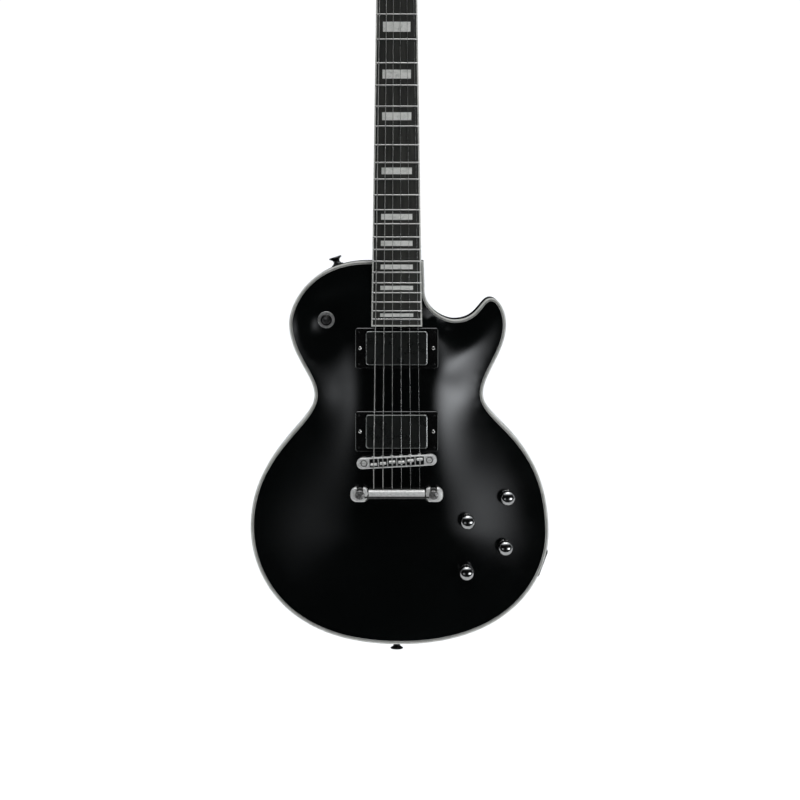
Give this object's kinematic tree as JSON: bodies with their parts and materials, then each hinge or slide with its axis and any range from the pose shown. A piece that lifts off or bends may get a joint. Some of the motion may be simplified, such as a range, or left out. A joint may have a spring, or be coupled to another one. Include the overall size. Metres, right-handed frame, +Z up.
{
  "type": "electric guitar",
  "caption": "Carved-top single-cutaway electric guitar with a set neck, two humbucking pickups, a fixed bridge with sliding saddles, turning knobs and a three-a-side headstock.",
  "frame": {"origin": "centre of the outer face of the tail strap button, on the neck centre line, in the middle of the 50 mm body rim", "axes": "+Z up the neck to the headstock, -Y out of the front of the body, +X to the treble side, which is the right seen from the front"},
  "size_m": [0.3408, 0.1211, 1.0289],
  "materials": {
    "gloss_black_maple": "gloss black lacquer over carved maple",
    "gloss_black_mahogany": "gloss black lacquer over mahogany",
    "ivory_binding": "scraped multi-ply plastic binding under clear lacquer",
    "ebony": "oiled ebony with nickel-silver frets",
    "bone": "polished bone",
    "steel_rod": "plain steel",
    "string_steel": "nickel-wound and plain steel",
    "black_ring_plastic": "satin black",
    "charcoal_cover_plastic": "satin charcoal",
    "circuit_board": "solder mask",
    "battery_case": "plain can",
    "black_cover_plastic": "satin black",
    "toggle_tip": "black tip on a nickel lever",
    "nickel": "polished nickel plate"
  },
  "bodies": {
    "guitar": {"battery": "battery_case", "body_back": "gloss_black_mahogany", "body_binding": "ivory_binding", "body_top": "gloss_black_maple", "bridge_base": "nickel", "bridge_post_bass": "nickel", "bridge_post_treble": "nickel", "control_board": "circuit_board", "control_cover": "black_cover_plastic", "fretboard": "ebony", "neck": "gloss_black_mahogany", "nut": "bone", "output_jack": "nickel", "pickup_ring_bridge": "black_ring_plastic", "pickup_ring_neck": "black_ring_plastic", "strap_button_shoulder": "nickel", "strap_button_tail": "nickel", "string_1": "string_steel", "string_2": "string_steel", "string_3": "string_steel", "string_4": "string_steel", "string_5": "string_steel", "string_6": "string_steel", "tailpiece": "nickel", "tailpiece_stud_bass": "nickel", "tailpiece_stud_treble": "nickel", "toggle_cover": "black_cover_plastic", "toggle_switch": "nickel", "truss_rod": "steel_rod", "tuner_housing_1": "nickel", "tuner_housing_2": "nickel", "tuner_housing_3": "nickel", "tuner_housing_4": "nickel", "tuner_housing_5": "nickel", "tuner_housing_6": "nickel"},
    "knob_1": {"knob_1": "nickel"},
    "knob_2": {"knob_2": "nickel"},
    "knob_3": {"knob_3": "nickel"},
    "knob_4": {"knob_4": "nickel"},
    "pickup_bridge": {"pickup_bridge": "charcoal_cover_plastic"},
    "pickup_neck": {"pickup_neck": "charcoal_cover_plastic"},
    "saddle_1": {"saddle_1": "nickel"},
    "saddle_2": {"saddle_2": "nickel"},
    "saddle_3": {"saddle_3": "nickel"},
    "saddle_4": {"saddle_4": "nickel"},
    "saddle_5": {"saddle_5": "nickel"},
    "saddle_6": {"saddle_6": "nickel"},
    "toggle_lever": {"toggle_lever": "toggle_tip"},
    "tuner_button_1": {"tuner_button_1": "nickel"},
    "tuner_button_2": {"tuner_button_2": "nickel"},
    "tuner_button_3": {"tuner_button_3": "nickel"},
    "tuner_button_4": {"tuner_button_4": "nickel"},
    "tuner_button_5": {"tuner_button_5": "nickel"},
    "tuner_button_6": {"tuner_button_6": "nickel"},
    "tuner_post_1": {"tuner_post_1": "nickel"},
    "tuner_post_2": {"tuner_post_2": "nickel"},
    "tuner_post_3": {"tuner_post_3": "nickel"},
    "tuner_post_4": {"tuner_post_4": "nickel"},
    "tuner_post_5": {"tuner_post_5": "nickel"},
    "tuner_post_6": {"tuner_post_6": "nickel"}
  },
  "joints": [
    {"name": "knob_1_turn", "type": "hinge", "parent": "guitar", "child": "knob_1", "pos_m": [0.126, -0.02762, 0.1805], "axis": [0, -1, 0], "range_deg": [-135, 135]},
    {"name": "knob_2_turn", "type": "hinge", "parent": "guitar", "child": "knob_2", "pos_m": [0.0806, -0.03324, 0.1541], "axis": [0, -1, 0], "range_deg": [-135, 135]},
    {"name": "knob_3_turn", "type": "hinge", "parent": "guitar", "child": "knob_3", "pos_m": [0.1238, -0.02797, 0.1234], "axis": [0, -1, 0], "range_deg": [-135, 135]},
    {"name": "knob_4_turn", "type": "hinge", "parent": "guitar", "child": "knob_4", "pos_m": [0.0796, -0.03032, 0.0952], "axis": [0, -1, 0], "range_deg": [-135, 135]},
    {"name": "toggle_throw", "type": "hinge", "parent": "guitar", "child": "toggle_lever", "pos_m": [-0.0795, -0.03, 0.3834], "axis": [1, 0, 0], "range_deg": [-12, 12]},
    {"name": "pickup_neck_height", "type": "slide", "parent": "guitar", "child": "pickup_neck", "axis": [0, -1, 0], "range_m": [-0.003, 0.001]},
    {"name": "pickup_bridge_height", "type": "slide", "parent": "guitar", "child": "pickup_bridge", "axis": [0, -1, 0], "range_m": [-0.003, 0.001]},
    {"name": "saddle_1_intonation", "type": "slide", "parent": "guitar", "child": "saddle_1", "axis": [-0.0541, 0, 0.9985], "range_m": [-0.0008, 0.004]},
    {"name": "saddle_2_intonation", "type": "slide", "parent": "guitar", "child": "saddle_2", "axis": [-0.0541, 0, 0.9985], "range_m": [-0.0016, 0.0032]},
    {"name": "saddle_3_intonation", "type": "slide", "parent": "guitar", "child": "saddle_3", "axis": [-0.0541, 0, 0.9985], "range_m": [-0.0028, 0.002]},
    {"name": "saddle_4_intonation", "type": "slide", "parent": "guitar", "child": "saddle_4", "axis": [-0.0541, 0, 0.9985], "range_m": [-0.002, 0.0028]},
    {"name": "saddle_5_intonation", "type": "slide", "parent": "guitar", "child": "saddle_5", "axis": [-0.0541, 0, 0.9985], "range_m": [-0.0032, 0.0016]},
    {"name": "saddle_6_intonation", "type": "slide", "parent": "guitar", "child": "saddle_6", "axis": [-0.0541, 0, 0.9985], "range_m": [-0.004, 0.0008]},
    {"name": "tuner_1_button_turn", "type": "hinge", "parent": "guitar", "child": "tuner_button_1", "pos_m": [-0.024, 0.02595, 0.88986], "axis": [-1, 0, 0], "continuous": true},
    {"name": "tuner_1_post_turn", "type": "hinge", "parent": "guitar", "child": "tuner_post_1", "pos_m": [-0.024, 0.00877, 0.90118], "axis": [0, -0.9532, 0.3025], "continuous": true},
    {"name": "tuner_2_button_turn", "type": "hinge", "parent": "guitar", "child": "tuner_button_2", "pos_m": [-0.0265, 0.03865, 0.92989], "axis": [-1, 0, 0], "continuous": true},
    {"name": "tuner_2_post_turn", "type": "hinge", "parent": "guitar", "child": "tuner_post_2", "pos_m": [-0.0265, 0.02147, 0.94122], "axis": [0, -0.9532, 0.3025], "continuous": true},
    {"name": "tuner_3_button_turn", "type": "hinge", "parent": "guitar", "child": "tuner_button_3", "pos_m": [-0.029, 0.05135, 0.96992], "axis": [-1, 0, 0], "continuous": true},
    {"name": "tuner_3_post_turn", "type": "hinge", "parent": "guitar", "child": "tuner_post_3", "pos_m": [-0.029, 0.03417, 0.98125], "axis": [0, -0.9532, 0.3025], "continuous": true},
    {"name": "tuner_4_button_turn", "type": "hinge", "parent": "guitar", "child": "tuner_button_4", "pos_m": [0.029, 0.05135, 0.96992], "axis": [1, 0, 0], "continuous": true},
    {"name": "tuner_4_post_turn", "type": "hinge", "parent": "guitar", "child": "tuner_post_4", "pos_m": [0.029, 0.03417, 0.98125], "axis": [0, -0.9532, 0.3025], "continuous": true},
    {"name": "tuner_5_button_turn", "type": "hinge", "parent": "guitar", "child": "tuner_button_5", "pos_m": [0.0265, 0.03865, 0.92989], "axis": [1, 0, 0], "continuous": true},
    {"name": "tuner_5_post_turn", "type": "hinge", "parent": "guitar", "child": "tuner_post_5", "pos_m": [0.0265, 0.02147, 0.94122], "axis": [0, -0.9532, 0.3025], "continuous": true},
    {"name": "tuner_6_button_turn", "type": "hinge", "parent": "guitar", "child": "tuner_button_6", "pos_m": [0.024, 0.02595, 0.88986], "axis": [1, 0, 0], "continuous": true},
    {"name": "tuner_6_post_turn", "type": "hinge", "parent": "guitar", "child": "tuner_post_6", "pos_m": [0.024, 0.00877, 0.90118], "axis": [0, -0.9532, 0.3025], "continuous": true}
  ],
  "couplings": [
    {"joint": "tuner_1_post_turn", "follows": "tuner_1_button_turn", "ratio": 0.055556},
    {"joint": "tuner_2_post_turn", "follows": "tuner_2_button_turn", "ratio": 0.055556},
    {"joint": "tuner_3_post_turn", "follows": "tuner_3_button_turn", "ratio": 0.055556},
    {"joint": "tuner_4_post_turn", "follows": "tuner_4_button_turn", "ratio": -0.055556},
    {"joint": "tuner_5_post_turn", "follows": "tuner_5_button_turn", "ratio": -0.055556},
    {"joint": "tuner_6_post_turn", "follows": "tuner_6_button_turn", "ratio": -0.055556}
  ]
}
